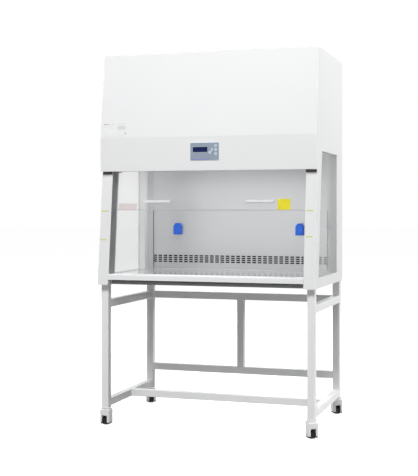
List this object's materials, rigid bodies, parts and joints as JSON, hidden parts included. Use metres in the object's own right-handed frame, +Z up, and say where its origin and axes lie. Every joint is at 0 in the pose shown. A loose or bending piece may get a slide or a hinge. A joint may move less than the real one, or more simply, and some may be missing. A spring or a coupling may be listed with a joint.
{
  "type": "vertical laminar flow cabinet",
  "caption": "Open-fronted clean air bench with a leaning sliding glass sash, side windows and a stainless work chamber, on a tubular stand with levelling casters",
  "frame": {"origin": "centre of the part's footprint on the floor", "axes": "X to the right seen from the front, Y to the back, Z up"},
  "size_m": [1.1992, 0.7606, 1.992],
  "materials": {
    "stand_paint": "white powder coat, light satin",
    "cabinet_paint": "white powder coat, light satin",
    "stainless": "brushed stainless sheet",
    "side_glazing": "clear toughened pane",
    "sash_glazing": "clear toughened pane",
    "rail_aluminium": "satin anodised",
    "handle_plastic": "white moulded plastic",
    "belt_rubber": "black toothed belt",
    "zinc_steel": "bright zinc plate",
    "galvanised": "galvanised sheet",
    "filter_pack": "pleated glass paper in a rim",
    "lamp_tube": "white lamp tube and holders",
    "panel_film": "printed membrane, grey blue",
    "display_glass": "dark blue display window",
    "button_plastic": "pale domed key",
    "socket_blue": "blue moulded plastic",
    "inlet_plastic": "black moulded plastic",
    "caster_body": "white coated casting",
    "caster_tyre": "black nylon wheel",
    "caster_pad": "black pad and dial"
  },
  "bodies": {
    "cabinet": {"back_wall": "stainless", "base_tray": "stainless", "blower_housing": "galvanised", "caster_stems": "zinc_steel", "ceiling_diffuser": "stainless", "control_panel": "panel_film", "cross_rail": "stand_paint", "display": "display_glass", "fine_filter": "filter_pack", "front_cover": "cabinet_paint", "front_ledge": "cabinet_paint", "lamps": "lamp_tube", "leg_front_left": "stand_paint", "leg_front_right": "stand_paint", "leg_rear_left": "stand_paint", "leg_rear_right": "stand_paint", "lower_side_rail_left": "stand_paint", "lower_side_rail_right": "stand_paint", "power_inlet": "inlet_plastic", "pressure_box": "galvanised", "rear_cover": "cabinet_paint", "rear_rail_lower": "stand_paint", "rear_rail_upper": "stand_paint", "rear_strut": "stand_paint", "roof_panel": "cabinet_paint", "sash_belts": "belt_rubber", "sash_guide_left": "stainless", "sash_guide_right": "stainless", "side_glass_left": "side_glazing", "side_glass_right": "side_glazing", "side_wall_left": "cabinet_paint", "side_wall_right": "cabinet_paint", "sockets": "socket_blue", "spring_barrel": "galvanised", "upper_side_rail_left": "stand_paint", "upper_side_rail_right": "stand_paint", "worktop": "stainless"},
    "caster_front_left": {"caster_hood_front_left": "caster_body"},
    "wheel_front_left": {"caster_wheel_front_left": "caster_tyre"},
    "foot_front_left": {"caster_foot_front_left": "caster_pad"},
    "caster_rear_left": {"caster_hood_rear_left": "caster_body"},
    "wheel_rear_left": {"caster_wheel_rear_left": "caster_tyre"},
    "foot_rear_left": {"caster_foot_rear_left": "caster_pad"},
    "caster_front_right": {"caster_hood_front_right": "caster_body"},
    "wheel_front_right": {"caster_wheel_front_right": "caster_tyre"},
    "foot_front_right": {"caster_foot_front_right": "caster_pad"},
    "caster_rear_right": {"caster_hood_rear_right": "caster_body"},
    "wheel_rear_right": {"caster_wheel_rear_right": "caster_tyre"},
    "foot_rear_right": {"caster_foot_rear_right": "caster_pad"},
    "sash": {"sash_glass": "sash_glazing", "sash_top_rail": "rail_aluminium", "sash_handles": "handle_plastic"},
    "sash_shaft": {"sash_shaft": "zinc_steel"},
    "belt_idlers": {"belt_idlers": "zinc_steel"},
    "impeller": {"impeller": "galvanised"},
    "button_low": {"button_low": "button_plastic"},
    "button_middle": {"button_middle": "button_plastic"},
    "button_high": {"button_high": "button_plastic"},
    "lid_left": {"socket_lid_left": "socket_blue"},
    "lid_right": {"socket_lid_right": "socket_blue"}
  },
  "joints": [
    {"name": "swivel_front_left", "type": "hinge", "parent": "cabinet", "child": "caster_front_left", "pos_m": [-0.565, -0.32329, 0.09], "axis": [0, 0, 1], "continuous": true},
    {"name": "roll_front_left", "type": "hinge", "parent": "caster_front_left", "child": "wheel_front_left", "pos_m": [-0.565, -0.33129, 0.022], "axis": [1, 0, 0], "continuous": true},
    {"name": "foot_screw_front_left", "type": "slide", "parent": "caster_front_left", "child": "foot_front_left", "axis": [0, 0, -1], "range_m": [0, 0.009]},
    {"name": "swivel_rear_left", "type": "hinge", "parent": "cabinet", "child": "caster_rear_left", "pos_m": [-0.565, 0.34571, 0.09], "axis": [0, 0, 1], "continuous": true},
    {"name": "roll_rear_left", "type": "hinge", "parent": "caster_rear_left", "child": "wheel_rear_left", "pos_m": [-0.561, 0.33878, 0.022], "axis": [0.866, 0.5, 0], "continuous": true},
    {"name": "foot_screw_rear_left", "type": "slide", "parent": "caster_rear_left", "child": "foot_rear_left", "axis": [0, 0, -1], "range_m": [0, 0.009]},
    {"name": "swivel_front_right", "type": "hinge", "parent": "cabinet", "child": "caster_front_right", "pos_m": [0.565, -0.32329, 0.09], "axis": [0, 0, 1], "continuous": true},
    {"name": "roll_front_right", "type": "hinge", "parent": "caster_front_right", "child": "wheel_front_right", "pos_m": [0.569, -0.33022, 0.022], "axis": [0.866, 0.5, 0], "continuous": true},
    {"name": "foot_screw_front_right", "type": "slide", "parent": "caster_front_right", "child": "foot_front_right", "axis": [0, 0, -1], "range_m": [0, 0.009]},
    {"name": "swivel_rear_right", "type": "hinge", "parent": "cabinet", "child": "caster_rear_right", "pos_m": [0.565, 0.34571, 0.09], "axis": [0, 0, 1], "continuous": true},
    {"name": "roll_rear_right", "type": "hinge", "parent": "caster_rear_right", "child": "wheel_rear_right", "pos_m": [0.569, 0.33878, 0.022], "axis": [0.866, 0.5, 0], "continuous": true},
    {"name": "foot_screw_rear_right", "type": "slide", "parent": "caster_rear_right", "child": "foot_rear_right", "axis": [0, 0, -1], "range_m": [0, 0.009]},
    {"name": "sash_slide", "type": "slide", "parent": "cabinet", "child": "sash", "axis": [0, 0.1115, 0.9938], "range_m": [-0.343, 0.15]},
    {"name": "shaft_turn", "type": "hinge", "parent": "cabinet", "child": "sash_shaft", "pos_m": [0, -0.15833, 1.9195], "axis": [1, 0, 0], "range_deg": [-667, 1517]},
    {"name": "idler_turn", "type": "hinge", "parent": "cabinet", "child": "belt_idlers", "pos_m": [0, -0.21941, 1.37493], "axis": [1, 0, 0], "range_deg": [-667, 1517]},
    {"name": "impeller_spin", "type": "hinge", "parent": "cabinet", "child": "impeller", "pos_m": [0, 0.04469, 1.838], "axis": [1, 0, 0], "continuous": true},
    {"name": "press_low", "type": "slide", "parent": "cabinet", "child": "button_low", "axis": [0, 1, 0], "range_m": [0, 0.0008], "stiffness_N_per_m": 800, "springref_m": -0.0006},
    {"name": "press_middle", "type": "slide", "parent": "cabinet", "child": "button_middle", "axis": [0, 1, 0], "range_m": [0, 0.0008], "stiffness_N_per_m": 800, "springref_m": -0.0006},
    {"name": "press_high", "type": "slide", "parent": "cabinet", "child": "button_high", "axis": [0, 1, 0], "range_m": [0, 0.0008], "stiffness_N_per_m": 800, "springref_m": -0.0006},
    {"name": "lid_hinge_left", "type": "hinge", "parent": "cabinet", "child": "lid_left", "pos_m": [-0.3675, 0.25721, 1.0755], "axis": [-1, 0, 0], "range_deg": [0, 110], "stiffness_Nm_per_rad": 0.02, "springref_deg": -22.92},
    {"name": "lid_hinge_right", "type": "hinge", "parent": "cabinet", "child": "lid_right", "pos_m": [0.3675, 0.25721, 1.0755], "axis": [-1, 0, 0], "range_deg": [0, 110], "stiffness_Nm_per_rad": 0.02, "springref_deg": -22.92}
  ],
  "couplings": [
    {"joint": "shaft_turn", "follows": "sash_slide", "rad_per_m": -76.923},
    {"joint": "idler_turn", "follows": "sash_slide", "rad_per_m": -76.923}
  ]
}
